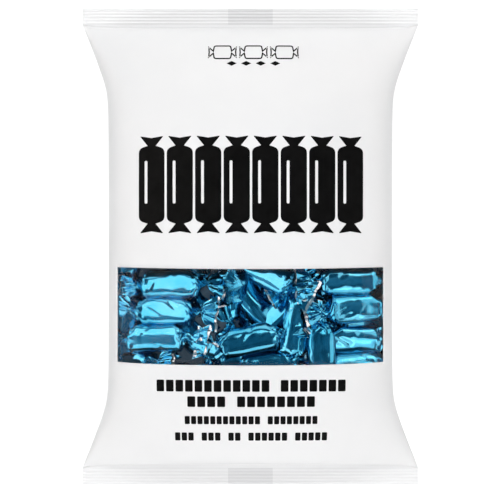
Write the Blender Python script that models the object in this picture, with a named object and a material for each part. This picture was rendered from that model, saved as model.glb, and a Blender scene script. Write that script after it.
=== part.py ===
"""A printed pillow pack of wrapped caramels, lying on its back with its front upwards.

The pack is a tube of film, crimped flat at both ends and joined down its back by a fin seal.
A window in the front shows the candies behind it. +Z is up, +Y runs towards the top of the pack,
and the origin is under the pack's middle, on the surface that it lies on. Units are metres.
"""

import math

import bmesh
import bpy
from mathutils import Euler, Matrix, Vector

MM = 0.001

# Pouch, from the film's flat width and the filled width
FLAT_WIDTH = 203 * MM
BODY_WIDTH = 170.6 * MM
PACK_LENGTH = 288 * MM
SEAL_DEPTH = 9.7 * MM
SEAL_THICKNESS = 1.0 * MM
SEAL_LIP = 2.3 * MM
RIDGES = 5
RIDGE_HEIGHT = 0.8 * MM
FIN_WIDTH = 27 * MM
FIN_THICKNESS = 0.8 * MM
FIN_STEP = 0.3 * MM
SEAM_HEIGHT = 25 * MM
FRONT_RISE = 35 * MM
FRONT_RUN = 80 * MM
BACK_DROP = 27 * MM
BACK_RUN = 62 * MM
FLARE_SLOPE = 0.4
SHOULDER_BLEND = 3.5 * MM
FILL_POWER = 2.4
FILL_ROOT = 1.3
EDGE_POWER = 2.0
EDGE_ROOT = 1.3
BODY_POWER = 2.8
SEAL_LINE = PACK_LENGTH / 2 - SEAL_DEPTH

# Window, pocket behind it, and the clearances between the solids
WINDOW_HALF_WIDTH = 78.8 * MM
WINDOW_HALF_LENGTH = 28.1 * MM
WINDOW_CENTRE_Y = -40.4 * MM
WINDOW_SAG = 1.0 * MM
POCKET_SIDE_LIP = 0.6 * MM
POCKET_END_LIP = 11 * MM
POCKET_FLOOR = 23 * MM
WALL = 1.2 * MM
GAP = 0.35 * MM
PANE_THICKNESS = 0.5 * MM

# One wrapped candy, along its own X axis
CANDY_WIDTH = 15.5 * MM
CANDY_HEIGHT = 13.5 * MM
CANDY_SIDES = 12
BODY_SQUARENESS = 3.2
FAN_WIDTH = 16.5 * MM
FAN_PLEAT = 1.5 * MM
CANDY_UNDER_FILM = 1.9 * MM
CANDY_REACH = 14 * MM
LAYER_DEPTH = 13 * MM
CORE_DEPTH = 14.5 * MM

# The candies that show: X and Y in mm, heading in degrees, layers below the film, roll in degrees
CANDIES = (
    (-46.3, -22.6, 2, 0.0, 12),
    (-49.5, -38.5, 0, 0.0, -8),
    (-55.0, -54.2, 1, 0.05, 5),
    (-71.0, -69.5, 6, 0.3, 20),
    (-8.5, -27.0, 62, 0.55, 25),
    (-11.0, -43.5, 96, 0.8, 10),
    (10.5, -14.5, -24, 0.1, -15),
    (2.5, -34.5, 128, 0.75, 30),
    (-0.5, -56.5, 9, 0.0, 18),
    (-33.5, -74.0, 52, 0.1, -20),
    (32.5, -13.5, 38, 0.15, 30),
    (17.5, -39.0, 44, 0.5, -25),
    (27.0, -49.0, 79, 0.3, 15),
    (12.0, -70.5, 4, 0.45, -12),
    (56.5, -19.8, -1, 0.0, 6),
    (60.5, -35.6, 4, 0.05, -10),
    (41.5, -66.0, 91, 0.0, 14),
    (62.5, -54.5, -2, 0.05, 10),
    (62.0, -70.5, 3, 0.25, -15),
    (-74.0, -12.5, 70, 0.3, 0),
)

PACK = bpy.data.collections.new("caramel_pack")
CUTTERS = bpy.data.collections.new("cutters")


def clear_scene():
    for old in list(bpy.data.objects):
        bpy.data.objects.remove(old, do_unlink=True)
    for collection in (PACK, CUTTERS):
        bpy.context.scene.collection.children.link(collection)


def material(name, colour, roughness, metallic=0.0, alpha=1.0):
    made = bpy.data.materials.new(name)
    made.use_nodes = True
    shader = made.node_tree.nodes["Principled BSDF"]
    shader.inputs["Base Color"].default_value = (*colour, 1)
    shader.inputs["Roughness"].default_value = roughness
    shader.inputs["Metallic"].default_value = metallic
    shader.inputs["Alpha"].default_value = alpha
    return made


def add_object(name, mesh, collection, finish=None):
    made = bpy.data.objects.new(name, mesh)
    collection.objects.link(made)
    if finish:
        mesh.materials.append(finish)
    return made


def mesh_from(name, bm):
    """The bmesh as a mesh with its faces pointing out, smooth where the surface is."""
    bmesh.ops.recalc_face_normals(bm, faces=bm.faces)
    mesh = bpy.data.meshes.new(name)
    bm.to_mesh(mesh)
    bm.free()
    mesh.shade_smooth()
    mesh.set_sharp_from_angle(angle=math.radians(35))
    return mesh


def loft(name, rings):
    """A closed mesh through rings of points that have the same count."""
    bm = bmesh.new()
    loops = [[bm.verts.new(point) for point in ring] for ring in rings]
    for near, far in zip(loops, loops[1:]):
        for i in range(len(near)):
            j = (i + 1) % len(near)
            bm.faces.new((near[i], near[j], far[j], far[i]))
    bm.faces.new(loops[0])
    bm.faces.new(loops[-1])
    return mesh_from(name, bm)


def half_width(y):
    """Half the pack's width: it flares from the filled body out to the flat seals."""
    from_seal = max(SEAL_LINE - abs(y), 0)
    body = BODY_WIDTH / 2
    extra = FLAT_WIDTH / 2 - FLARE_SLOPE * from_seal - body
    return min(FLAT_WIDTH / 2, body + (extra + math.hypot(extra, SHOULDER_BLEND)) / 2)


def fill(distance, run):
    """How full the pack is at a distance from its seal, from 0 to 1."""
    share = min(max(distance / run, 0), 1)
    return (1 - (1 - share) ** FILL_POWER) ** (1 / FILL_ROOT)


def bulge(x, y, run):
    """Share of the full rise at x, y: rounded across the body, and lens-shaped by the seals."""
    across = min(abs(x) / half_width(y), 1)
    lip = SEAL_LIP * (1 - across**8)
    along = fill(SEAL_LINE - lip - abs(y), run)
    power = EDGE_POWER + (BODY_POWER - EDGE_POWER) * along
    root = EDGE_ROOT + (BODY_POWER - EDGE_ROOT) * along
    return along * (1 - across**power) ** (1 / root)


def ridge(y):
    """The crimp's rise and fall, which both faces of a seal share."""
    into_seal = abs(y) - SEAL_LINE
    if into_seal <= 0:
        return 0
    return RIDGE_HEIGHT / 2 * math.sin(2 * math.pi * into_seal * RIDGES / SEAL_DEPTH - math.pi / 2)


def front_height(x, y):
    return SEAM_HEIGHT + SEAL_THICKNESS / 2 + ridge(y) + FRONT_RISE * bulge(x, y, FRONT_RUN)


def back_height(x, y):
    """The back's height: flat where it lies, with the fin seal standing below the film."""
    film = SEAM_HEIGHT - SEAL_THICKNESS / 2 + ridge(y) - BACK_DROP * bulge(x, y, BACK_RUN)
    fin = FIN_THICKNESS if abs(x) < FIN_WIDTH / 2 else 0
    return max(film, FIN_THICKNESS) - fin


def pack_rows():
    """Y of each ring: every turn of the crimp, and closer together towards the seals."""
    crimps = 2 * RIDGES
    body_steps = 14
    seal = [SEAL_LINE + SEAL_DEPTH * i / crimps for i in range(1, crimps + 1)]
    quarter = [SEAL_LINE * math.sin(math.pi / 2 * i / body_steps) for i in range(1, body_steps + 1)]
    positive = quarter + seal
    return [-y for y in reversed(positive)] + [0] + positive


def pack_ring(y):
    """One cross-section: over the front from +X to -X, then back along the underside."""
    columns = 9
    half = half_width(y)
    shares = [math.sin(math.pi / 2 * i / columns) ** (2 / BODY_POWER) for i in range(columns + 1)]
    across = [-half * s for s in reversed(shares)] + [half * s for s in shares[1:]]
    fin_edges = [
        side * (FIN_WIDTH / 2 + step) for side in (-1, 1) for step in (-FIN_STEP / 2, FIN_STEP / 2)
    ]
    clear_of_fin = [x for x in across if abs(abs(x) - FIN_WIDTH / 2) > FIN_STEP]
    front = [Vector((x, y, front_height(x, y))) for x in reversed(across)]
    back = [Vector((x, y, back_height(x, y))) for x in sorted(clear_of_fin + fin_edges)]
    return front + back


def window_slab(name, grow_x, grow_y, top, bottom, columns=22, rows=9):
    """A closed block with the window's outline, grown each way, between two heights."""
    bm = bmesh.new()
    bmesh.ops.create_grid(bm, x_segments=columns, y_segments=rows, size=1)
    half_x = WINDOW_HALF_WIDTH + grow_x
    half_y = WINDOW_HALF_LENGTH + grow_y
    for vert in bm.verts:
        sag = WINDOW_SAG * (1 - vert.co.x**2)
        # Columns crowd towards the sides, where the film turns down
        x = half_x * math.sin(math.pi / 2 * vert.co.x)
        vert.co = Vector((x, WINDOW_CENTRE_Y + half_y * vert.co.y - sag, 0))
    lower = bmesh.ops.extrude_face_region(bm, geom=bm.faces[:])["geom"]
    sunk = {item for item in lower if isinstance(item, bmesh.types.BMVert)}
    for vert in bm.verts:
        height = bottom if vert in sunk else top
        vert.co.z = height(vert.co.x, vert.co.y)
    return mesh_from(name, bm)


def candy_ring(x, width, height, squareness, pleat):
    """One section of a candy: a rounded box, or a pleated strip where the wrapper fans out."""
    points = []
    for i in range(CANDY_SIDES):
        turn = 2 * math.pi * i / CANDY_SIDES
        across = math.copysign(abs(math.cos(turn)) ** (2 / squareness), math.cos(turn))
        up = math.copysign(abs(math.sin(turn)) ** (2 / squareness), math.sin(turn))
        fold = pleat * math.cos(math.pi * abs(i - CANDY_SIDES // 2))
        points.append(Vector((x, width / 2 * across, height / 2 * up + fold / 2)))
    return points


def candy_mesh(name):
    """A wrapped candy: box-like middle, twisted necks, and a pleated fan at each end."""
    # Distance from the middle, width, height, squareness and pleat depth
    half = (
        (13.5 * MM, CANDY_WIDTH, CANDY_HEIGHT, BODY_SQUARENESS, 0),
        (16.0 * MM, CANDY_WIDTH * 0.78, CANDY_HEIGHT * 0.76, 2.4, 0),
        (19.5 * MM, 4.6 * MM, 4.2 * MM, 2, 0),
        (24.0 * MM, FAN_WIDTH * 0.66, 2.6 * MM, 2, FAN_PLEAT * 0.6),
        (30.5 * MM, FAN_WIDTH, 1.6 * MM, 2, FAN_PLEAT),
    )
    rings = [candy_ring(-x, *section) for x, *section in reversed(half)]
    rings += [candy_ring(x, *section) for x, *section in half]
    return loft(name, rings)


def candy_place(x, y, heading, layer, roll):
    """Where a candy lies: under the film, tipped with it along its own length."""
    turn = math.radians(heading)
    ahead = Vector((math.cos(turn), math.sin(turn))) * CANDY_REACH
    near = front_height(x - ahead.x, y - ahead.y)
    far = front_height(x + ahead.x, y + ahead.y)
    pitch = math.atan2(far - near, 2 * CANDY_REACH)
    sunk = CANDY_UNDER_FILM + CANDY_HEIGHT / 2 + layer * LAYER_DEPTH
    spot = Matrix.Translation((x, y, (near + far) / 2 - sunk))
    tip = Euler((math.radians(roll), -pitch, 0)).to_matrix().to_4x4()
    return spot @ Matrix.Rotation(turn, 4, "Z") @ tip


def boolean(target, operation, cutter=None, collection=None, solver="EXACT"):
    cut = target.modifiers.new(operation.lower(), "BOOLEAN")
    cut.operation = operation
    cut.solver = solver
    if collection:
        cut.operand_type = "COLLECTION"
        cut.collection = collection
    else:
        cut.object = cutter
    return cut


def apply_modifiers(target):
    """Bakes the modifiers into the object's mesh, and drops any loose scrap beside it."""
    graph = bpy.context.evaluated_depsgraph_get()
    mesh = bpy.data.meshes.new_from_object(target.evaluated_get(graph))
    target.modifiers.clear()
    target.data = mesh
    bm = bmesh.new()
    bm.from_mesh(mesh)
    left = set(bm.verts)
    islands = []
    while left:
        island = {left.pop()}
        edge = set(island)
        while edge:
            edge = {e.other_vert(v) for v in edge for e in v.link_edges} - island
            island |= edge
        left -= island
        islands.append(island)
    islands.sort(key=len)
    for scrap in islands[:-1]:
        bmesh.ops.delete(bm, geom=list(scrap), context="VERTS")
    bm.to_mesh(mesh)
    bm.free()


def as_cutter(name, mesh):
    cutter = add_object(name, mesh, CUTTERS)
    cutter.hide_render = True
    cutter.display_type = "WIRE"
    return cutter


def make_bag():
    white = material("white_film", (0.86, 0.86, 0.87), 0.42)
    bag = add_object("bag", loft("bag", [pack_ring(y) for y in pack_rows()]), PACK, white)
    pocket = as_cutter(
        "pocket",
        window_slab(
            "pocket",
            POCKET_SIDE_LIP,
            POCKET_END_LIP,
            lambda x, y: front_height(x, y) - WALL,
            lambda x, y: POCKET_FLOOR,
        ),
    )
    opening = as_cutter(
        "opening",
        window_slab(
            "opening",
            0,
            0,
            lambda x, y: front_height(x, y) + 4 * WALL,
            lambda x, y: front_height(x, y) - 2 * WALL,
        ),
    )
    boolean(bag, "DIFFERENCE", pocket)
    boolean(bag, "DIFFERENCE", opening)


def make_window():
    clear = material("clear_film", (0.93, 0.96, 0.98), 0.08, alpha=0.25)
    pane_top = 0.2 * MM
    mesh = window_slab(
        "window_film",
        -GAP,
        -GAP,
        lambda x, y: front_height(x, y) - pane_top,
        lambda x, y: front_height(x, y) - pane_top - PANE_THICKNESS,
    )
    add_object("window_film", mesh, PACK, clear)


def make_candies():
    """The heap behind the window: a plain core with the candies that show fused on."""
    foil = material("blue_foil", (0.03, 0.42, 0.65), 0.25, metallic=0.9)
    room = as_cutter(
        "room",
        window_slab(
            "room",
            POCKET_SIDE_LIP - GAP,
            POCKET_END_LIP - GAP,
            lambda x, y: front_height(x, y) - WALL - GAP,
            lambda x, y: POCKET_FLOOR + GAP,
        ),
    )
    core = window_slab(
        "wrapped_candies",
        POCKET_SIDE_LIP - 3 * GAP,
        POCKET_END_LIP - 3 * GAP,
        lambda x, y: max(front_height(x, y) - CORE_DEPTH, POCKET_FLOOR + 3 * MM),
        lambda x, y: POCKET_FLOOR + 2 * GAP,
        columns=10,
        rows=6,
    )
    heap = add_object("wrapped_candies", core, PACK, foil)
    loose = bpy.data.collections.new("candies_that_show")
    bpy.context.scene.collection.children.link(loose)
    mesh = candy_mesh("candy")
    for number, place in enumerate(CANDIES):
        candy = add_object(f"candy_{number:02d}", mesh, loose)
        candy.matrix_world = candy_place(place[0] * MM, place[1] * MM, *place[2:])
    boolean(heap, "UNION", collection=loose, solver="MANIFOLD")
    boolean(heap, "INTERSECT", room, solver="MANIFOLD")
    apply_modifiers(heap)
    for candy in list(loose.objects):
        bpy.data.objects.remove(candy, do_unlink=True)
    bpy.data.collections.remove(loose)


clear_scene()
make_bag()
make_window()
make_candies()
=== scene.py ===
"""The looks of a pillow pack of foil-wrapped caramels, lying on its back with its printed front upwards.

+Z is up, +Y runs towards the top of the pack, and units are metres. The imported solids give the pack's
size and place: this script makes its film, its print and the candies behind its window over them.
"""

import math
import random

import bmesh
import bpy
import numpy as np
from mathutils import Euler, Matrix, Vector
from mathutils.geometry import delaunay_2d_cdt


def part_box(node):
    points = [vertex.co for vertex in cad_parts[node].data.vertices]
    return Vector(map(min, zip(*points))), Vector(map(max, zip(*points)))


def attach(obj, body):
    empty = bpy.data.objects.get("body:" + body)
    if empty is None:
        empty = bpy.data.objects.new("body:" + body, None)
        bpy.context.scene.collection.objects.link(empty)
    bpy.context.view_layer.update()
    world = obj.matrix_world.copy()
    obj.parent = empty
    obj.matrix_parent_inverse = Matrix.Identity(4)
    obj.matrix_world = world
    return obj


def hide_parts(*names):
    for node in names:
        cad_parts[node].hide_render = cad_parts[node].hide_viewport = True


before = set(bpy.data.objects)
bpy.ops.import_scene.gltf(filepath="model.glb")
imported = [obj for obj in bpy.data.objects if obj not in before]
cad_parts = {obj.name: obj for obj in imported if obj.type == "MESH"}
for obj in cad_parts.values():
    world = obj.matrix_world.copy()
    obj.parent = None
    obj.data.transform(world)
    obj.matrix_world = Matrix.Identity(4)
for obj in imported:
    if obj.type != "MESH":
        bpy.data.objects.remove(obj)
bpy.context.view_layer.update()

MM = 0.001

# The pouch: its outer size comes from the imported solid, and its form from the same values as that solid
BAG_LOW, BAG_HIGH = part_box("bag")
FLAT_WIDTH = BAG_HIGH.x - BAG_LOW.x
PACK_LENGTH = BAG_HIGH.y - BAG_LOW.y
BODY_WIDTH = FLAT_WIDTH * 0.8404
SEAL_DEPTH = 9.7 * MM
SEAL_THICKNESS = 0.8 * MM
SEAL_LIP = 2.3 * MM
SEAL_CREASE = 0.32 * MM
CREASE_WIDTH = 0.45 * MM
RIDGES = 5
RIDGE_HEIGHT = 0.26 * MM
FIN_WIDTH = 27 * MM
FIN_THICKNESS = 0.8 * MM
SEAM_HEIGHT = 25 * MM
FRONT_RISE = 35 * MM
FRONT_RUN = 80 * MM
BACK_DROP = 27 * MM
BACK_RUN = 62 * MM
FLARE_SLOPE = 0.4
SHOULDER_BLEND = 3.5 * MM
FILL_POWER = 2.4
FILL_ROOT = 1.3
EDGE_POWER = 2.0
EDGE_ROOT = 1.3
BODY_POWER = 2.8
SEAL_LINE = PACK_LENGTH / 2 - SEAL_DEPTH
FILM = 0.12 * MM

# Window
WINDOW_HALF_WIDTH = 78.8 * MM
WINDOW_HALF_LENGTH = 28.1 * MM
WINDOW_CENTRE_Y = -40.4 * MM
WINDOW_SAG = 1.0 * MM

# Candies, each along its own X axis
CANDY_WIDTH = 17.2 * MM
CANDY_HEIGHT = 13.5 * MM
BLOCK_HALF = 15.4 * MM
NECK_AT = 18.8 * MM
FAN_FROM = 19.6 * MM
FAN_LENGTH = 12.5 * MM
NECK_WIDTH = 4.8 * MM
FAN_WIDTH = 19.0 * MM
CANDY_UNDER_FILM = 1.9 * MM
CANDY_REACH = 14 * MM
LAYER_DEPTH = 13 * MM
PLEATS = 7
COLUMNS_A_FOLD = 5
CANDY_COLUMNS = 2 * PLEATS * COLUMNS_A_FOLD
FAN_FOLDS = 8
RAGGED_POINTS = 13
LINING_RINGS = 9
LINING_GAP = 0.1 * MM
PRESSED = 1.2 * MM

# X and Y in mm, heading in degrees, layers below the film, roll and extra pitch in degrees
CANDIES = (
    (-46.3, -22.4, 2, 0.0, -12, 0),
    (-50.0, -38.2, 0, 0.05, -7, 0),
    (-55.2, -53.8, 1, 0.05, 9, 0),
    (-71.0, -69.5, 6, 0.3, 20, 0),
    (-10.5, -28.0, -92, 0.55, 10, -38),
    (-11.5, -66.0, 93, 0.5, 10, 0),
    (9.5, -16.5, -28, 0.3, -4, 15),
    (2.0, -34.5, 128, 0.8, 30, 0),
    (-0.5, -55.0, 11, 0.0, -4, 0),
    (-25.0, -86.5, 88, 0.1, -20, 0),
    (35.0, -11.5, 42, 0.5, 30, 0),
    (17.5, -39.0, 44, 0.75, -25, 0),
    (27.0, -47.5, 79, 0.3, 15, 0),
    (12.0, -69.5, 4, 0.45, -12, 0),
    (56.5, -20.8, -1, 0.0, -3, 0),
    (61.5, -36.8, 4, 0.05, -1, 0),
    (41.5, -63.5, 91, 0.0, 14, 0),
    (61.0, -55.2, -2, 0.4, 14, 0),
    (62.0, -71.5, 3, 0.25, -15, 0),
    (-74.0, -12.5, 70, 0.3, 0, 0),
    (67.0, -46.0, 2, 0.75, 12, 0),
    (-75.0, -51.0, 82, 0.6, 0, 0),
)

PIECES = bpy.data.collections.new("pack_pieces")
bpy.context.scene.collection.children.link(PIECES)


def smooth(low, high, value):
    """Eases from 0 at low to 1 at high."""
    share = np.clip((value - low) / (high - low), 0, 1)
    return share * share * (3 - 2 * share)


def half_width(y):
    """Half the pack's width: it flares from the filled body out to the flat seals."""
    from_seal = np.maximum(SEAL_LINE - np.abs(y), 0)
    body = BODY_WIDTH / 2
    extra = FLAT_WIDTH / 2 - FLARE_SLOPE * from_seal - body
    return np.minimum(FLAT_WIDTH / 2, body + (extra + np.hypot(extra, SHOULDER_BLEND)) / 2)


def fill(distance, run):
    """How full the pack is at a distance from its seal, from 0 to 1."""
    share = np.clip(distance / run, 0, 1)
    return (1 - (1 - share) ** FILL_POWER) ** (1 / FILL_ROOT)


def bulge(x, y, run):
    """Share of the full rise at x, y: rounded across the body, and lens-shaped by the seals."""
    across = np.minimum(np.abs(x) / half_width(y), 1)
    lip = SEAL_LIP * (1 - across**8)
    along = fill(SEAL_LINE - lip - np.abs(y), run)
    power = EDGE_POWER + (BODY_POWER - EDGE_POWER) * along
    root = EDGE_ROOT + (BODY_POWER - EDGE_ROOT) * along
    return along * (1 - across**power) ** (1 / root)


def ridge(y):
    """The crimp's rise and fall, which both faces of a seal share."""
    into_seal = np.maximum(np.abs(y) - SEAL_LINE, 0)
    turn = 2 * np.pi * into_seal * RIDGES / SEAL_DEPTH
    return RIDGE_HEIGHT / 2 * (1 - np.cos(turn)) * (into_seal > 0)


def plain_front(x, y):
    """The front's height before wrinkles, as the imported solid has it."""
    return SEAM_HEIGHT + SEAL_THICKNESS / 2 + FRONT_RISE * bulge(x, y, FRONT_RUN)


def seal_folds(x, y, seed):
    """Shallow folds that run into the pack from its end seals."""
    draw = random.Random(seed)
    folds_an_end = 13
    total = np.zeros_like(x)
    for end in (-1, 1):
        distance = SEAL_LINE - SEAL_LIP - end * y
        for i in range(folds_an_end):
            start = FLAT_WIDTH * 0.93 * ((i + draw.uniform(0.15, 0.85)) / folds_an_end - 0.5)
            lean = draw.uniform(-0.12, 0.12) - 1.4 * start
            reach = draw.uniform(16, 46) * MM
            width = draw.uniform(2.2, 4.6) * MM
            depth = draw.uniform(0.12, 0.5) * MM
            share = np.clip(distance / reach, 0, None)
            off = (x - start - lean * distance) / (width * (1 + 0.8 * share))
            total -= depth * np.clip(share * 4, 0, 1) * np.exp(-share * share - off * off)
    return total


def lumps(x, y, seed):
    """The film's slow rise and fall over the candies under it, from -1 to 1 or so."""
    draw = random.Random(seed)
    waves = 9
    total = np.zeros_like(x)
    for _ in range(waves):
        heading = draw.uniform(0, math.pi)
        wave = 2 * math.pi / (draw.uniform(24, 52) * MM)
        along = x * math.cos(heading) + y * math.sin(heading)
        total += np.sin(along * wave + draw.uniform(0, 2 * math.pi))
    return total / math.sqrt(waves)


def seal_crease(across, y):
    """The sharp crease where the film leaves an end seal, curved in to the seal's corners."""
    inside_seal = SEAL_LINE - np.abs(y)
    lip = SEAL_LIP * (0.05 + 0.95 * (1 - across**14))
    depth = SEAL_CREASE * (0.6 + 1.4 * across**6)
    return -depth * np.exp(-(((inside_seal - lip) / CREASE_WIDTH) ** 2)) * (inside_seal > 0)


def front_film(x, y):
    """The height of the front's outer face."""
    across = np.minimum(np.abs(x) / half_width(y), 1)
    body = smooth(0, 45 * MM, SEAL_LINE - np.abs(y)) * (1 - across**6)
    detail = seal_folds(x, y, 11) * (1 - across**6) + 0.28 * MM * lumps(x, y, 5) * body
    return plain_front(x, y) + detail + ridge(y) + seal_crease(across, y)


def back_film(x, y):
    """The height of the back's outer face: it lies flat on its fin seal."""
    across = np.minimum(np.abs(x) / half_width(y), 1)
    rise = SEAM_HEIGHT - SEAL_THICKNESS / 2 - BACK_DROP * bulge(x, y, BACK_RUN)
    free = smooth(FIN_THICKNESS, FIN_THICKNESS + 9 * MM, rise)
    detail = seal_folds(x, y, 23) * (1 - across**6) + 0.5 * MM * lumps(x, y, 8) * free * (1 - across**6)
    return np.maximum(rise, FIN_THICKNESS) + detail * free + ridge(y)


def tube_faces(rows, count):
    """The quads that join rows of points into a tube, row by row."""
    faces = []
    for r in range(rows - 1):
        for c in range(count):
            d = (c + 1) % count
            faces.append((r * count + c, (r + 1) * count + c, (r + 1) * count + d, r * count + d))
    return faces


def end_caps(rows, count):
    """The two faces that close a tube."""
    return [tuple(range(count)), tuple((rows - 1) * count + c for c in reversed(range(count)))]


def mesh_object(name, points, faces, materials, face_material=None, sharp=35):
    """A mesh piece in the pack's collection, smooth but for edges sharper than an angle in degrees."""
    mesh = bpy.data.meshes.new(name)
    mesh.from_pydata([tuple(p) for p in points], [], faces)
    for finish in materials:
        mesh.materials.append(finish)
    if face_material is not None:
        mesh.polygons.foreach_set("material_index", np.asarray(face_material, np.int32))
    bm = bmesh.new()
    bm.from_mesh(mesh)
    bmesh.ops.remove_doubles(bm, verts=bm.verts, dist=1e-7)
    bmesh.ops.recalc_face_normals(bm, faces=bm.faces)
    bm.to_mesh(mesh)
    bm.free()
    mesh.shade_smooth()
    mesh.set_sharp_from_angle(angle=math.radians(sharp))
    made = bpy.data.objects.new(name, mesh)
    PIECES.objects.link(made)
    return made


def apply_modifiers(target):
    graph = bpy.context.evaluated_depsgraph_get()
    mesh = bpy.data.meshes.new_from_object(target.evaluated_get(graph))
    target.modifiers.clear()
    target.data = mesh


def thicken(target, thickness, inner_material=0):
    """Gives a sheet its thickness, inwards from the face that shows."""
    shell = target.modifiers.new("thickness", "SOLIDIFY")
    shell.thickness = thickness
    shell.offset = -1
    shell.material_offset = inner_material
    shell.material_offset_rim = 0
    apply_modifiers(target)


# Materials


def new_material(name):
    made = bpy.data.materials.new(name)
    made.use_nodes = True
    tree = made.node_tree
    return made, tree, tree.nodes["Principled BSDF"]


def add_node(tree, kind, **settings):
    made = tree.nodes.new(kind)
    for key, value in settings.items():
        if key in made.inputs:
            made.inputs[key].default_value = value
        else:
            setattr(made, key, value)
    return made


def noise(tree, place, scale, detail=3.0, roughness=0.55):
    made = add_node(tree, "ShaderNodeTexNoise", Scale=scale, Detail=detail, Roughness=roughness)
    tree.links.new(place, made.inputs["Vector"])
    return made.outputs["Fac"]


def spread(tree, value, low, high, from_low=0.3, from_high=0.7):
    made = add_node(tree, "ShaderNodeMapRange")
    made.inputs["From Min"].default_value = from_low
    made.inputs["From Max"].default_value = from_high
    made.inputs["To Min"].default_value = low
    made.inputs["To Max"].default_value = high
    tree.links.new(value, made.inputs["Value"])
    return made.outputs["Result"]


def mix_colour(tree, share, first, second):
    made = tree.nodes.new("ShaderNodeMix")
    made.data_type = "RGBA"
    tree.links.new(share, made.inputs["Factor"])
    for socket, value in ((made.inputs[6], first), (made.inputs[7], second)):
        if isinstance(value, tuple):
            socket.default_value = (*value, 1)
        else:
            tree.links.new(value, socket)
    return made.outputs[2]


def bump(tree, height, distance, strength=1.0, under=None):
    made = add_node(tree, "ShaderNodeBump", Strength=strength, Distance=distance)
    tree.links.new(height, made.inputs["Height"])
    if under is not None:
        tree.links.new(under, made.inputs["Normal"])
    return made.outputs["Normal"]


def math_node(tree, operation, first, second=0.0):
    made = add_node(tree, "ShaderNodeMath", operation=operation)
    for socket, value in zip(made.inputs, (first, second)):
        if isinstance(value, float):
            socket.default_value = value
        else:
            tree.links.new(value, socket)
    return made.outputs[0]


def white_film_material():
    """White printed film with a satin sheen, greyer where the fin seal runs into the end seals, and with
    painted shade in the grooves of the seals' crimp.
    """
    made, tree, shader = new_material("white_film")
    place = tree.nodes.new("ShaderNodeTexCoord").outputs["Object"]
    split = tree.nodes.new("ShaderNodeSeparateXYZ")
    tree.links.new(place, split.inputs[0])
    beside = math_node(tree, "ABSOLUTE", split.outputs["X"])
    beyond = math_node(tree, "ABSOLUTE", split.outputs["Y"])
    in_fin = math_node(tree, "LESS_THAN", beside, FIN_WIDTH / 2)
    in_seal = math_node(tree, "GREATER_THAN", beyond, SEAL_LINE)
    patch = math_node(tree, "MULTIPLY", in_fin, in_seal)
    cloud = spread(tree, noise(tree, place, 26), 0, 1)
    white = mix_colour(tree, cloud, (0.765, 0.765, 0.772), (0.785, 0.785, 0.79))
    # Painted shade: the seals' colour darkens in each crimp groove, where shade falls between the ridges.
    into_seal = math_node(tree, "SUBTRACT", beyond, SEAL_LINE)
    turn = math_node(tree, "MULTIPLY", into_seal, 2 * math.pi * RIDGES / SEAL_DEPTH)
    painted_groove_shade = spread(tree, math_node(tree, "COSINE", turn), 0, 1, 0.2, 1)
    seal_with_painted_groove_shade = mix_colour(tree, painted_groove_shade, (0.81, 0.81, 0.817), (0.755, 0.755, 0.762))
    fin_patch_with_painted_groove_shade = mix_colour(tree, painted_groove_shade, (0.725, 0.725, 0.735), (0.655, 0.655, 0.665))
    sealed = mix_colour(tree, in_seal, white, seal_with_painted_groove_shade)
    colour = mix_colour(tree, patch, sealed, fin_patch_with_painted_groove_shade)
    tree.links.new(colour, shader.inputs["Base Color"])
    shader.inputs["Specular IOR Level"].default_value = 0.3
    rough = spread(tree, noise(tree, place, 90, detail=4), 0.36, 0.46)
    tree.links.new(rough, shader.inputs["Roughness"])
    grain = bump(tree, noise(tree, place, 2600, detail=2), 0.004 * MM, 0.6)
    soft = bump(tree, noise(tree, place, 130, detail=2), 0.06 * MM, 0.5, under=grain)
    tree.links.new(soft, shader.inputs["Normal"])
    return made


def clear_film_material():
    """Clear film: what is behind it shows, with a thin gloss on top."""
    made, tree, shader = new_material("clear_film")
    tree.nodes.remove(shader)
    place = tree.nodes.new("ShaderNodeTexCoord").outputs["Object"]
    gloss = tree.nodes.new("ShaderNodeBsdfGlossy")
    gloss.inputs["Color"].default_value = (0.93, 0.96, 0.98, 1)
    rough = spread(tree, noise(tree, place, 70), 0.05, 0.14)
    tree.links.new(rough, gloss.inputs["Roughness"])
    ripple = bump(tree, noise(tree, place, 60, detail=2), 0.25 * MM, 0.5)
    tree.links.new(ripple, gloss.inputs["Normal"])
    see_through = tree.nodes.new("ShaderNodeBsdfTransparent")
    facing = add_node(tree, "ShaderNodeLayerWeight", Blend=0.5).outputs["Facing"]
    share = spread(tree, math_node(tree, "POWER", facing, 4.0), 0.006, 0.32, 0, 1)
    both = tree.nodes.new("ShaderNodeMixShader")
    tree.links.new(share, both.inputs["Fac"])
    tree.links.new(see_through.outputs[0], both.inputs[1])
    tree.links.new(gloss.outputs[0], both.inputs[2])
    tree.links.new(both.outputs[0], tree.nodes["Material Output"].inputs["Surface"])
    return made


def foil_material(name, deep, light, roughness):
    """Metallised foil under a clear lacquer, with fine creases."""
    made, tree, shader = new_material(name)
    place = tree.nodes.new("ShaderNodeTexCoord").outputs["Object"]
    tint = spread(tree, noise(tree, place, 60), 0, 1, 0.35, 0.65)
    tree.links.new(mix_colour(tree, tint, deep, light), shader.inputs["Base Color"])
    shader.inputs["Metallic"].default_value = 1.0
    shader.inputs["Coat Weight"].default_value = 0.45
    shader.inputs["Coat Roughness"].default_value = 0.08
    rough = spread(tree, noise(tree, place, 260, detail=4), roughness * 0.75, roughness * 1.4)
    tree.links.new(rough, shader.inputs["Roughness"])
    cells = add_node(tree, "ShaderNodeTexVoronoi", Scale=620.0)
    tree.links.new(place, cells.inputs["Vector"])
    fine = bump(tree, cells.outputs["Distance"], 0.03 * MM, 0.35)
    tree.links.new(fine, shader.inputs["Normal"])
    return made


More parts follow.
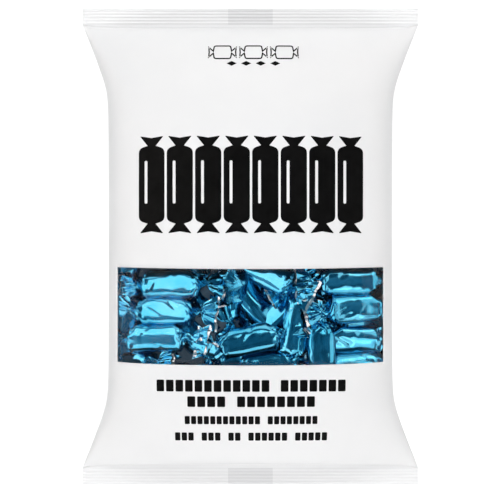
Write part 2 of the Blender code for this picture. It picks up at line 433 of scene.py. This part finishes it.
def ink_material():
    made, tree, shader = new_material("black_ink")
    place = tree.nodes.new("ShaderNodeTexCoord").outputs["Object"]
    cloud = spread(tree, noise(tree, place, 140), 0, 1)
    ink = mix_colour(tree, cloud, (0.001, 0.001, 0.001), (0.003, 0.003, 0.003))
    tree.links.new(ink, shader.inputs["Base Color"])
    shader.inputs["Specular IOR Level"].default_value = 0.06
    rough = spread(tree, noise(tree, place, 300), 0.45, 0.6)
    tree.links.new(rough, shader.inputs["Roughness"])
    grain = bump(tree, noise(tree, place, 2600, detail=2), 0.004 * MM, 0.6)
    tree.links.new(grain, shader.inputs["Normal"])
    return made


def floor_material():
    made, tree, shader = new_material("pale_floor")
    place = tree.nodes.new("ShaderNodeTexCoord").outputs["Object"]
    cloud = spread(tree, noise(tree, place, 3), 0, 1)
    pale = mix_colour(tree, cloud, (0.44, 0.44, 0.44), (0.46, 0.46, 0.46))
    tree.links.new(pale, shader.inputs["Base Color"])
    shader.inputs["Roughness"].default_value = 0.9
    shader.inputs["Emission Color"].default_value = (1, 1, 1, 1)
    shader.inputs["Emission Strength"].default_value = 0.62
    return made


# Film


def film_columns():
    """Shares of the half width, closer together at the sides, with one at the window's edge."""
    steps = 48
    shares = np.sin(np.pi / 2 * np.arange(steps + 1) / steps)
    edge = WINDOW_HALF_WIDTH / half_width(WINDOW_CENTRE_Y)
    at = int(np.argmin(np.abs(shares - edge)))
    shares[at] = edge
    return np.concatenate([-shares[:0:-1], shares]), at


def film_rows():
    """Y of each row: closer together towards the seals, with rows on the window's two edges."""
    body_steps, lip_rows, rows_a_ridge = 58, 14, 6
    lip_from = SEAL_LINE - 3.5 * MM
    share = np.arange(1, body_steps + 1) / body_steps
    body = 0.35 * share + 0.65 * np.sin(np.pi / 2 * share)
    lip = np.linspace(lip_from, SEAL_LINE, lip_rows + 1)[1:]
    seal_rows = RIDGES * rows_a_ridge
    seal = SEAL_LINE + SEAL_DEPTH * np.arange(1, seal_rows + 1) / seal_rows
    positive = np.concatenate([body / body[-1] * lip_from, lip, seal])
    rows = np.concatenate([-positive[::-1], [0], positive])
    edges = []
    for end in (-1, 1):
        edge = WINDOW_CENTRE_Y + end * WINDOW_HALF_LENGTH
        at = int(np.argmin(np.abs(rows - edge)))
        rows[at] = edge
        edges.append(at)
    return rows, edges


def film_grid():
    """X and Y of every point of a face of the pack, by row and column, and where the window lies."""
    shares, half_columns = film_columns()
    rows, (low_row, high_row) = film_rows()
    middle = len(shares) // 2
    window = (low_row, high_row, middle - half_columns, middle + half_columns)
    y = np.repeat(rows[:, None], len(shares), 1)
    x = shares[None, :] * half_width(y)
    for column, side in ((window[2], -1), (window[3], 1)):
        x[low_row : high_row + 1, column] = side * WINDOW_HALF_WIDTH
    near = smooth(28 * MM, 0, np.abs(y - WINDOW_CENTRE_Y) - WINDOW_HALF_LENGTH)
    sag = np.clip(1 - (x / WINDOW_HALF_WIDTH) ** 2, 0, 1)
    y = y - WINDOW_SAG * sag * near
    return x, y, window


def make_film(white, clear):
    """The printed pouch with its window left open, and the clear film in the window."""
    x, y, window = film_grid()
    rows, columns = x.shape
    front = np.stack([x, y, front_film(x, y)], -1)
    back = np.stack([x, y, back_film(x, y)], -1)
    front[:, 0, 2] = np.maximum(front[:, 0, 2], back[:, 0, 2] + SEAL_THICKNESS / 2)
    ring = np.concatenate([front[:, ::-1], back], 1)
    count = ring.shape[1]
    points = ring.reshape(-1, 3)
    bag_faces, window_faces = [], []
    low_row, high_row, first, last = window
    for number, face in enumerate(tube_faces(rows, count)):
        row, column = number // count, columns - 2 - number % count
        if low_row <= row < high_row and first <= column < last:
            window_faces.append(face)
        else:
            bag_faces.append(face)
    bag = mesh_object("printed_film", points, bag_faces + end_caps(rows, count), [white])
    drop_loose(bag)
    thicken(bag, FILM)
    pane = mesh_object("clear_window", points, window_faces, [clear])
    drop_loose(pane)
    thicken(pane, FILM * 0.5)
    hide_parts("bag")
    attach(bag, "root")
    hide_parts("window_film")
    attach(pane, "root")


def make_fin_seal(white):
    """The fin seal that the pack lies on, folded flat against the back."""
    across = np.linspace(-FIN_WIDTH / 2, FIN_WIDTH / 2, 15)
    along = np.linspace(-SEAL_LINE, SEAL_LINE, 241)
    x, y = np.meshgrid(across, along)
    film = back_film(x, y)
    crimp = 0.06 * MM * (1 + np.cos(2 * np.pi * along / (2.4 * MM)))[:, None] * np.ones_like(x)
    top = np.stack([x, y, film - 0.04 * MM], -1)
    low = np.stack([x, y, np.maximum(film - FIN_THICKNESS + crimp, 0)], -1)
    ring = np.concatenate([top, low[:, ::-1]], 1)
    rows, count = ring.shape[:2]
    faces = tube_faces(rows, count) + end_caps(rows, count)
    fin = mesh_object("fin_seal", ring.reshape(-1, 3), faces, [white])
    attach(fin, "root")


def drop_loose(target):
    """Removes points that no face uses."""
    bm = bmesh.new()
    bm.from_mesh(target.data)
    loose = [vert for vert in bm.verts if not vert.link_faces]
    bmesh.ops.delete(bm, geom=loose, context="VERTS")
    bm.to_mesh(target.data)
    bm.free()


# Candies


def creases(points, waves, shortest, longest, draw):
    """A field of flat facets between straight creases, from -1 to 1 or so, like crumpled foil."""
    total = np.zeros(points.shape[:-1])
    for _ in range(waves):
        direction = Vector([draw.gauss(0, 1) for _ in range(3)]).normalized()
        length = draw.uniform(shortest, longest)
        phase = points @ np.array(direction) / length + draw.random()
        total += 4 * np.abs(phase - np.floor(phase) - 0.5) - 1
    return total / math.sqrt(waves)


def dents(points, count, draw):
    """Depths of straight notches pressed into a wrapper, each running out at its two ends."""
    total = np.zeros(points.shape[:-1])
    for _ in range(count):
        around = draw.uniform(0, 2 * math.pi)
        out = Vector((0, math.cos(around), math.sin(around)))
        lean = draw.uniform(-1.1, 1.1)
        along = Vector((1, 0, 0)) * math.cos(lean) + out.cross(Vector((1, 0, 0))) * math.sin(lean)
        beside = out.cross(along)
        centre = Vector((draw.uniform(-12, 12) * MM, 0, 0)) + out * CANDY_WIDTH * 0.45
        away = points - np.array(centre)
        reach = draw.uniform(4, 9) * MM
        width = draw.uniform(1.0, 2.2) * MM
        share = np.clip(1 - (away @ np.array(along) / reach) ** 2, 0, 1)
        share = share * np.clip(1 - np.abs(away @ np.array(beside)) / width, 0, 1)
        near = np.abs(away @ np.array(out)) < CANDY_WIDTH * 0.35
        total = np.maximum(total, share * near * draw.uniform(0.25, 0.6) * MM)
    return total


def unit_section(square):
    """Points evenly spaced around a rounded rectangle whose sides are 2 long before rounding."""
    angle = np.linspace(0, 2 * np.pi, 721)
    cos, sin = np.cos(angle), np.sin(angle)
    x = np.sign(cos) * np.abs(cos) ** (2 / square)
    z = np.sign(sin) * np.abs(sin) ** (2 / square)
    arc = np.concatenate([[0], np.cumsum(np.hypot(np.diff(x) * CANDY_WIDTH, np.diff(z) * CANDY_HEIGHT))])
    at = np.arange(CANDY_COLUMNS) / CANDY_COLUMNS * arc[-1]
    return np.interp(at, arc, x), np.interp(at, arc, z)


def fold_line(draw, across):
    """Heights of a fan's uneven folds at shares of its width, ridge and valley in turn."""
    knots = np.cumsum([0] + [draw.uniform(0.6, 1.4) for _ in range(FAN_FOLDS)])
    knots = np.round((knots / knots[-1] * 2 - 1) * CANDY_COLUMNS / 4) / (CANDY_COLUMNS / 4)
    heights = [(-1) ** i * draw.uniform(0.5, 1.4) for i in range(FAN_FOLDS + 1)]
    return np.interp(across, knots, heights)


def turned(x, z, angle):
    """Points of a section turned about the candy's own length."""
    return x * math.cos(angle) - z * math.sin(angle), x * math.sin(angle) + z * math.cos(angle)


def body_end(draw):
    """Half of the wrapped block: a function that gives its section along it, and its neck's height."""
    columns = np.arange(CANDY_COLUMNS)
    cut_side = draw.choice((0, math.pi)) + draw.gauss(0, 0.5)
    cut = draw.uniform(2, 7) * MM * (0.5 + 0.5 * np.cos(2 * np.pi * columns / CANDY_COLUMNS - cut_side))
    starts = BLOCK_HALF + draw.uniform(-1.5, 1) * MM - cut
    drop_from = BLOCK_HALF + draw.uniform(-0.5, 1) * MM
    neck_rise = draw.uniform(0.8, 3.0) * MM
    body_square = draw.uniform(2.4, 3.2)
    zigzag = 1 - 2 * np.abs((columns / COLUMNS_A_FOLD) % 2 - 1)
    depths = [draw.uniform(0.5, 1.3) for _ in range(PLEATS + 1)]
    zigzag = zigzag * np.interp(columns, np.linspace(0, CANDY_COLUMNS, PLEATS + 1), depths)
    twist = draw.choice((-1, 1)) * draw.uniform(1.5, 3.0)

    def section(s):
        block = np.clip((s - starts) / (NECK_AT - starts), 0, 1)
        block = 0.7 * block + 0.3 * smooth(0, 1, block)
        drop = np.clip((s - drop_from) / (NECK_AT - drop_from), 0, 1)
        width = CANDY_WIDTH + (NECK_WIDTH - CANDY_WIDTH) * block
        height = CANDY_HEIGHT + (NECK_WIDTH * 0.9 - CANDY_HEIGHT) * drop
        square = body_square + (2.0 - body_square) * min(1, float(block.mean()) * 1.5)
        gather = 0.27 * smooth(BLOCK_HALF - 3 * MM, NECK_AT, s) + 0.02 * smooth(3 * MM, BLOCK_HALF, s)
        unit_x, unit_z = unit_section(square)
        x = width / 2 * unit_x * (1 + zigzag * gather)
        z = height / 2 * unit_z * (1 + zigzag * gather)
        return turned(x, z, twist * smooth(NECK_AT - 3.5 * MM, FAN_FROM + 2 * MM, s))

    return section, neck_rise


def fan_end(draw, roll):
    """A fan of two layers: a function that gives its section at a share of its length, and its bend."""
    columns = np.arange(CANDY_COLUMNS)
    top_layer = columns < CANDY_COLUMNS / 2
    layer = np.where(top_layer, 1, -1)
    across = np.where(top_layer, 1 - 4 * columns / CANDY_COLUMNS, 4 * columns / CANDY_COLUMNS - 3)
    folds = fold_line(draw, across)
    open_across = 1 - across**6
    mouth = draw.uniform(0.1, 0.8) * MM
    spread_wide = FAN_WIDTH * draw.uniform(0.92, 1.18)
    ragged = [draw.uniform(-1, 1) for _ in range(RAGGED_POINTS)]
    trim = np.where(top_layer, draw.uniform(0.88, 0.95), draw.uniform(0.98, 1.03))
    trim = trim * (1 + 0.07 * np.interp(columns, np.linspace(0, CANDY_COLUMNS, RAGGED_POINTS), ragged))
    curl = draw.uniform(-2.5, 2.5) * MM
    lean = draw.uniform(-0.35, 0.35)
    fan_roll = draw.gauss(0, 0.25) - math.radians(roll)
    bend = np.array(Euler((0, draw.uniform(0.0, 0.4), draw.uniform(-0.4, 0.4))).to_matrix())

    def section(out, inside_by):
        """How far the ring's points draw back along the candy, then their x and z."""
        wide = NECK_WIDTH + (spread_wide - NECK_WIDTH) * out**0.8
        base = folds * MM * min(1, out * 1.5) + curl * out**2 * across**2 + 1.5 * MM * smooth(0, 1, out)
        half_gap = (0.22 * MM + mouth * out) * open_across - inside_by * open_across
        z = base + layer * half_gap
        drawn_back = FAN_LENGTH * out * (trim - 1) * out
        return drawn_back, *turned(wide / 2 * across + lean * z, z, fan_roll)

    return section, bend


def candy_end(draw, stations, side, roll):
    """One half of a wrapper from its middle out: its rings, and the rings of the lining in its fan."""
    body_section, neck_rise = body_end(draw)
    fan_section, bend = fan_end(draw, roll)
    pivot = np.array([NECK_AT, 0, neck_rise])

    def ring_at(s, inside_by):
        out = max(0, (s - FAN_FROM) / FAN_LENGTH)
        body_x, body_z = body_section(s)
        drawn_back, fan_x, fan_z = fan_section(out, inside_by)
        share = smooth(0, 0.35, out)
        rise = neck_rise * smooth(BLOCK_HALF - 3 * MM, NECK_AT, s)
        x = body_x + (fan_x - body_x) * share
        z = body_z + (fan_z - body_z) * share + rise
        ring = np.stack([s + drawn_back, x, z], -1)
        bent = (ring - pivot) @ bend.T + pivot
        return ring + (bent - ring) * smooth(NECK_AT - 1 * MM, FAN_FROM + 1.5 * MM, s)

    rings = np.array([ring_at(s, 0) for s in stations])
    lining = np.array([ring_at(s, LINING_GAP) for s in stations[-LINING_RINGS:]])
    rings[..., 0] *= side
    lining[..., 0] *= side
    return rings, lining


def candy_rings(seed, roll):
    """All rings of one candy, from inside one fan, out over the wrapper and into the other fan."""
    draw = random.Random(seed)
    block = np.linspace(0, BLOCK_HALF - 6.6 * MM, 9)[1:]
    taper = np.linspace(BLOCK_HALF - 6 * MM, FAN_FROM, 22)
    fan = np.linspace(FAN_FROM, FAN_FROM + FAN_LENGTH, 15)[1:]
    stations = np.concatenate([block, taper, fan])
    left, left_lining = candy_end(draw, stations, -1, roll)
    right, right_lining = candy_end(draw, stations, 1, roll)
    middle = (left[0] + right[0]) / 2
    rings = np.concatenate([left_lining, left[::-1], middle[None], right, right_lining[::-1]])
    reach = np.abs(rings[..., 0])
    body = 1 - smooth(BLOCK_HALF - 2 * MM, NECK_AT, reach)
    out = rings.copy()
    out[..., 0] = 0
    out /= np.maximum(np.linalg.norm(out, axis=-1, keepdims=True), 1e-6)
    in_fan = smooth(NECK_AT, FAN_FROM + 1.5 * MM, reach)[..., None]
    out = out + (np.array((0, 0, 1)) - out) * in_fan
    wrinkle = draw.uniform(0.3, 1.0)
    large = creases(rings, 4, 10 * MM, 22 * MM, draw) * 0.3 * MM * (1 - body + body * wrinkle)
    medium = creases(rings, 3, 6 * MM, 10 * MM, draw) * 0.1 * MM * (1 - body + body * wrinkle)
    small = creases(rings, 3, 4.0 * MM, 9 * MM, draw) * 0.22 * MM * (1 - body)
    sunk = dents(rings, draw.randint(2, 7), draw)
    return rings + out * (large + medium + small - sunk)[..., None]


def place_under_film(x, y, heading, layer, roll, tip_up):
    """Where a candy lies: under the film, tipped with it along its own length."""
    turn = math.radians(heading)
    ahead = Vector((math.cos(turn), math.sin(turn))) * CANDY_REACH
    near = float(plain_front(np.array(x - ahead.x), np.array(y - ahead.y)))
    far = float(plain_front(np.array(x + ahead.x), np.array(y + ahead.y)))
    pitch = math.atan2(far - near, 2 * CANDY_REACH)
    sunk = CANDY_UNDER_FILM + CANDY_HEIGHT / 2 + layer * LAYER_DEPTH
    spot = Matrix.Translation((x, y, (near + far) / 2 - sunk))
    tip = Euler((math.radians(roll), -pitch - math.radians(tip_up), 0)).to_matrix().to_4x4()
    return spot @ Matrix.Rotation(turn, 4, "Z") @ tip


def press_inside(rings, clearance):
    """Keeps a candy inside the pouch: flattened against the film, with its fans' layers still in order."""
    x, y, z = rings[..., 0], rings[..., 1], rings[..., 2]
    limit = half_width(y) - 1.2 * MM
    x = np.clip(x, -limit, limit)
    room = plain_front(x, y) - clearance - z
    over = np.where(room < PRESSED, PRESSED * np.exp((room - PRESSED) / PRESSED) - room, 0)
    other_layer = np.roll(over[:, ::-1], 1, axis=1)
    rings_past_lining = 4
    fan_rings = LINING_RINGS * 2 + rings_past_lining
    for part in (slice(0, fan_rings), slice(-fan_rings, None)):
        over[part] = np.maximum(over[part], other_layer[part])
    for ring in range(LINING_RINGS):
        over[ring] = over[2 * LINING_RINGS - 1 - ring]
        over[-1 - ring] = over[-2 * LINING_RINGS + ring]
    z = np.maximum(z - over, back_film(x, y) + clearance)
    return np.stack([x, y, z], -1)


def make_candy(name, seed, place, foil, silver_foil):
    x, y, heading, layer, roll, tip_up = place
    rings = candy_rings(seed, roll)
    count, columns = rings.shape[:2]
    matrix = np.array(place_under_film(x * MM, y * MM, heading, layer, roll, tip_up))
    rings = press_inside(rings @ matrix[:3, :3].T + matrix[:3, 3], 0.9 * MM)
    finish = []
    for ring in range(count - 1):
        silver = ring < LINING_RINGS or ring >= count - 1 - LINING_RINGS
        finish += [int(silver)] * columns
    finish += [1, 1]
    faces = tube_faces(count, columns) + end_caps(count, columns)
    candy = mesh_object(name, rings.reshape(-1, 3), faces, [foil, silver_foil], finish, sharp=24)
    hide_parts("wrapped_candies")
    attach(candy, "root")


def deeper_places():
    """A second layer of candies under those that show, laid by a seeded draw."""
    draw = random.Random(41)
    places = []
    columns, rows = 5, 4
    half_x, low_y, high_y = 66, -78, -4
    for column in range(columns):
        for row in range(rows):
            x = -half_x + 2 * half_x * column / (columns - 1) + draw.uniform(-6, 6)
            y = low_y + (high_y - low_y) * row / (rows - 1) + draw.uniform(-4, 4)
            heading, layer, roll = draw.uniform(0, 180), draw.uniform(1.05, 1.35), draw.uniform(-40, 40)
            places.append((x, y, heading, layer, roll, 0))
    return places


def make_candies():
    foil = foil_material("blue_foil", (0.03, 0.34, 0.55), (0.08, 0.40, 0.60), 0.12)
    silver_foil = foil_material("silver_foil", (0.70, 0.72, 0.76), (0.84, 0.86, 0.90), 0.24)
    for number, place in enumerate(CANDIES):
        make_candy(f"candy_{number + 1:02d}", 100 + number, place, foil, silver_foil)
    for number, place in enumerate(deeper_places()):
        make_candy(f"deep_candy_{number + 1:02d}", 300 + number, place, foil, silver_foil)
    make_core()


def make_core():
    """The rest of the fill as a lumpy bed under the candies, coloured dark as painted shade in the gaps
    between them.
    """
    dark, tree, shader = new_material("painted_shade_bed")
    place = tree.nodes.new("ShaderNodeTexCoord").outputs["Object"]
    # Painted shade: the bed's dark colour stands in for the shade that fills the gaps between the candies.
    cloud = spread(tree, noise(tree, place, 80), 0, 1)
    colour = mix_colour(tree, cloud, (0.055, 0.085, 0.12), (0.075, 0.12, 0.165))
    tree.links.new(colour, shader.inputs["Base Color"])
    rough = spread(tree, noise(tree, place, 200), 0.5, 0.7)
    tree.links.new(rough, shader.inputs["Roughness"])
    depth = 21 * MM
    columns, rows = 60, 44
    across = np.linspace(-1, 1, columns) * (WINDOW_HALF_WIDTH - 2 * MM)
    along = WINDOW_CENTRE_Y + np.linspace(-1, 1, rows) * (WINDOW_HALF_LENGTH + 22 * MM)
    x, y = np.meshgrid(across, along)
    bottom = np.maximum(back_film(x, y) + 1.5 * MM, 8 * MM)
    top = plain_front(x, y) - depth + 2 * MM * lumps(x * 2, y * 2, 77)
    top = np.maximum(top, bottom + 2 * MM)
    layers = [np.stack([x, y, z], -1).reshape(-1, 3) for z in (top, bottom)]
    count = rows * columns
    faces = []
    for r in range(rows - 1):
        for c in range(columns - 1):
            a = r * columns + c
            quad = (a, a + 1, a + 1 + columns, a + columns)
            faces.append(quad)
            faces.append(tuple(count + i for i in reversed(quad)))
    rim = list(range(columns))
    rim += [r * columns + columns - 1 for r in range(1, rows)]
    rim += [(rows - 1) * columns + c for c in reversed(range(columns - 1))]
    rim += [r * columns for r in reversed(range(1, rows - 1))]
    for a, b in zip(rim, rim[1:] + rim[:1]):
        faces.append((b, a, count + a, count + b))
    core = mesh_object("deep_fill", np.concatenate(layers), faces, [dark])
    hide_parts("wrapped_candies")
    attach(core, "root")


# Print


def rounded_outline(corners, radii, steps=5):
    """A closed outline through corners, each rounded by its own radius."""
    points = []
    count = len(corners)
    for i, (corner, radius) in enumerate(zip(corners, radii)):
        here = Vector(corner)
        before = Vector(corners[i - 1]) - here
        after = Vector(corners[(i + 1) % count]) - here
        if radius <= 0:
            points.append(here)
            continue
        reach = min(radius, before.length * 0.49, after.length * 0.49)
        start = here + before.normalized() * reach
        end = here + after.normalized() * reach
        for step in range(steps + 1):
            t = step / steps
            points.append(start * (1 - t) ** 2 + here * 2 * t * (1 - t) + end * t * t)
    return points


def bar(centre, width, height, radius):
    corners = []
    for side_x, side_y in ((-1, -1), (1, -1), (1, 1), (-1, 1)):
        corners.append((centre[0] + side_x * width / 2, centre[1] + side_y * height / 2))
    return rounded_outline(corners, [radius] * 4)


def sweet(centre, length, width, block, upright=False):
    """The outline of a wrapped sweet: a rounded middle, two narrow necks and two fans."""
    body = length * block
    neck = body + length * 0.03
    tip = length / 2
    half = width / 2
    narrow = width * 0.16
    flare = width * 0.46
    dip = length * 0.02
    right = [(body, half), (neck, narrow), (tip, flare), (tip - dip, 0)]
    right += [(x, -y) for x, y in reversed(right[:3])]
    corners = right + [(-x, -y) for x, y in right]
    radii = [width * 0.26, 0, width * 0.06, 0, width * 0.06, 0, width * 0.26] * 2
    if upright:
        corners = [(-y, x) for x, y in corners]
    corners = [(centre[0] + x, centre[1] + y) for x, y in corners]
    return rounded_outline(corners, radii)


def inner_outline(points, distance):
    """An outline as far inside another as a stroke is wide."""
    made = []
    turning = sum(a.x * b.y - b.x * a.y for a, b in zip(points, points[1:] + points[:1]))
    side = 1 if turning > 0 else -1
    for i, here in enumerate(points):
        before = (here - points[i - 1]).normalized()
        after = (points[(i + 1) % len(points)] - here).normalized()
        normal = Vector((-before.y - after.y, before.x + after.x))
        if normal.length < 1e-6:
            continue
        normal.normalize()
        square = Vector((-before.y, before.x))
        made.append(here + normal * side * distance / max(normal.dot(square), 0.5))
    return made


def inside(point, loops):
    """Whether a point lies in the printed area between loops, by the even-odd rule."""
    x, y = point
    hit = False
    for loop in loops:
        for a, b in zip(loop, loop[1:] + loop[:1]):
            if (a[1] > y) != (b[1] > y) and x < a[0] + (y - a[1]) * (b[0] - a[0]) / (b[1] - a[1]):
                hit = not hit
    return hit


def shape_triangles(loops, pitch):
    """Points and triangles that fill the area between loops, fine enough to follow the film."""
    verts, edges = [], []
    for loop in loops:
        start = len(verts)
        for a, b in zip(loop, loop[1:] + loop[:1]):
            parts = max(1, math.ceil((b - a).length / pitch))
            verts += [a.lerp(b, i / parts) for i in range(parts)]
        count = len(verts) - start
        edges += [(start + i, start + (i + 1) % count) for i in range(count)]
    xs = [p.x for p in verts]
    ys = [p.y for p in verts]
    wide = int((max(xs) - min(xs)) / pitch)
    high = int((max(ys) - min(ys)) / pitch)
    for i in range(1, wide):
        for j in range(1, high):
            spot = Vector((min(xs) + i * pitch, min(ys) + j * pitch))
            if inside(spot, loops):
                verts.append(spot)
    made, _, faces, *_ = delaunay_2d_cdt(verts, edges, [], 0, 1e-7)
    kept = []
    for face in faces:
        middle = sum((made[i] for i in face), Vector((0, 0))) / len(face)
        if inside(middle, loops):
            kept.append(face)
    return made, kept


def make_print(name, shapes, ink):
    """Printed shapes as one thin layer of ink on the film. Each shape is a list of loops."""
    lift, sink = 0.06 * MM, 0.04 * MM
    points, faces = [], []
    for loops in shapes:
        loops = [[Vector(p) * MM for p in loop] for loop in loops]
        flat, triangles = shape_triangles(loops, 1.3 * MM)
        x = np.array([p.x for p in flat])
        y = np.array([p.y for p in flat])
        z = front_film(x, y)
        start, count = len(points), len(flat)
        points += list(zip(x, y, z + lift)) + list(zip(x, y, z - sink))
        sides = {}
        for face in triangles:
            faces.append(tuple(start + i for i in face))
            faces.append(tuple(start + count + i for i in reversed(face)))
            for a, b in zip(face, face[1:] + face[:1]):
                if sides.pop((b, a), None) is None:
                    sides[(a, b)] = True
        for a, b in sides:
            faces.append((start + b, start + a, start + count + a, start + count + b))
    made = mesh_object(name, points, faces, [ink])
    drop_loose(made)
    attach(made, "root")


def headline_shapes():
    """A row of tall upright sweets across the front."""
    count, centre_x, centre_y, width, height = 8, 0.35, 36.0, 133.0, 57.0
    pitch = width / count
    shapes = []
    for i in range(count):
        x = centre_x + (i - (count - 1) / 2) * pitch
        loops = [sweet((x, centre_y), height, pitch * 0.92, 0.37, upright=True)]
        loops.append(bar((x - pitch * 0.20, centre_y + 1.5), pitch * 0.10, height * 0.44, pitch * 0.05))
        shapes.append(loops)
    return shapes


def emblem_shapes():
    """Three small outlined sweets near the top of the pack, over four solid lozenges."""
    centre_x, sweets_y, stroke = 1.8, 115.2, 0.8
    shapes = []
    for i in range(3):
        outline = sweet((centre_x + (i - 1) * 18.4, sweets_y), 17.2, 9.0, 0.30)
        shapes.append([outline, inner_outline(outline, stroke)])
    for i in range(4):
        x, y = centre_x + (i - 1.5) * 8.6, 108.0
        shapes.append([[Vector((x - 3, y)), Vector((x, y - 1.5)), Vector((x + 3, y)), Vector((x, y + 1.5))]])
    return shapes


def line_shapes():
    """Four rows of small upright blocks under the window, in groups."""
    rows = (
        (-81.6, 7.0, 20, 112.0, (12,)),
        (-91.1, 6.4, 13, 76.0, (4,)),
        (-102.4, 5.0, 21, 79.0, (12,)),
        (-112.8, 5.2, 23, 91.0, (3, 7, 10, 17)),
    )
    shapes = []
    for y, height, count, width, gaps in rows:
        pitch = width / count
        for i in range(count):
            x = 0.4 + (i - (count - 1) / 2) * pitch
            if i not in gaps:
                shapes.append([bar((x, y), pitch * 0.80, height, 0.7)])
    return shapes


def make_prints():
    ink = ink_material()
    make_print("print_sweets", headline_shapes(), ink)
    make_print("print_emblem", emblem_shapes(), ink)
    make_print("print_rows", line_shapes(), ink)


# Studio


def make_floor():
    size = 3.0
    mesh = bpy.data.meshes.new("floor")
    bm = bmesh.new()
    bmesh.ops.create_grid(bm, x_segments=8, y_segments=8, size=size)
    bm.to_mesh(mesh)
    bm.free()
    mesh.materials.append(floor_material())
    floor = bpy.data.objects.new("floor", mesh)
    bpy.context.scene.collection.objects.link(floor)


def add_light(name, size_x, size_y, brightness, place, colour=(1, 1, 1)):
    """A softbox of a size in metres. Its brightness is against a white that just shows as white."""
    aim = (0, 0, 0.04)
    light = bpy.data.lights.new(name, "AREA")
    light.color = colour
    light.shape = "RECTANGLE"
    light.size = size_x
    light.size_y = size_y
    light.energy = brightness * math.pi * size_x * size_y
    made = bpy.data.objects.new(name, light)
    made.location = place
    made.rotation_euler = (Vector(aim) - Vector(place)).to_track_quat("-Z", "Y").to_euler()
    bpy.context.scene.collection.objects.link(made)
    return made


def make_studio():
    """A floor, fills that light the pack, and warm panels that show only in its reflections."""
    make_floor()
    fills = (
        ("overhead_fill", 0.9, 0.9, 10.7, (0, 0, 2.4)),
        ("near_fill", 1.8, 0.5, 6.4, (0, -1.45, 0.86)),
        ("far_fill", 1.8, 0.5, 6.6, (0, 1.45, 0.86)),
        ("left_fill", 1.2, 0.5, 1.8, (-1.4, 0, 1.0)),
        ("right_fill", 1.2, 0.5, 1.7, (1.4, 0, 1.0)),
    )
    for fill_light in fills:
        add_light(*fill_light).visible_glossy = False
    panels = (
        ("key_panel", 1.2, 1.0, 2.3, (-0.75, 0.45, 1.35)),
        ("right_kicker", 0.4, 0.4, 2.3, (0.95, -0.75, 1.1)),
        ("right_panel", 2.0, 0.95, 1.5, (1.3, 0.3, 0.68)),
        ("left_panel", 2.0, 0.95, 1.9, (-1.35, -0.3, 0.6)),
        ("near_panel", 2.2, 0.95, 1.6, (0.1, -1.25, 0.82)),
        ("far_panel", 2.0, 0.85, 1.5, (0.3, 1.3, 0.8)),
    )
    for panel in panels:
        add_light(*panel, colour=(1, 0.83, 0.73)).visible_diffuse = False
    make_surroundings()


def make_surroundings():
    """What the foil mirrors beyond the panels: blue overhead, paler to the left and plain low down."""
    world = bpy.data.worlds.new("studio")
    bpy.context.scene.world = world
    world.use_nodes = True
    world.cycles_visibility.diffuse = False
    tree = world.node_tree
    sky = tree.nodes["Background"]
    place = tree.nodes.new("ShaderNodeTexCoord").outputs["Generated"]
    split = tree.nodes.new("ShaderNodeSeparateXYZ")
    tree.links.new(place, split.inputs[0])
    leftward = spread(tree, split.outputs["X"], 1, 0, -0.8, 0)
    sideways = spread(tree, split.outputs["Z"], 0.5, 0, 0.3, 0.8)
    horizon = spread(tree, split.outputs["Z"], 1.4, 0, 0.05, 0.2)
    cloud = spread(tree, noise(tree, place, 3.0, detail=1), 0, 1, 0.35, 0.65)
    added = cloud
    for part in (leftward, sideways, horizon):
        added = math_node(tree, "ADD", added, part)
    level = spread(tree, added, 0, 1, 0.3, 2.4)
    tree.links.new(spread(tree, level, 0.15, 0.8, 0, 1), sky.inputs["Strength"])
    tint = mix_colour(tree, level, (0.15, 0.70, 1.0), (0.8, 0.93, 1.0))
    tree.links.new(mix_colour(tree, horizon, tint, (0.97, 0.97, 0.97)), sky.inputs["Color"])


def make_camera():
    """Straight down on the front, from where the photograph was taken."""
    seal_plane, distance = SEAM_HEIGHT, 0.9
    view_width = 303 * MM
    camera = bpy.data.cameras.new("camera")
    camera.sensor_width = 36
    camera.lens = camera.sensor_width * distance / view_width
    camera.clip_start = 0.01
    made = bpy.data.objects.new("camera", camera)
    made.location = (-0.24 * MM, -2.2 * MM, seal_plane + distance)
    bpy.context.scene.collection.objects.link(made)
    bpy.context.scene.camera = made
    bpy.context.scene.view_settings.view_transform = "Standard"


make_camera()
WHITE_FILM = white_film_material()
make_film(WHITE_FILM, clear_film_material())
make_fin_seal(WHITE_FILM)
make_candies()
make_prints()
make_studio()
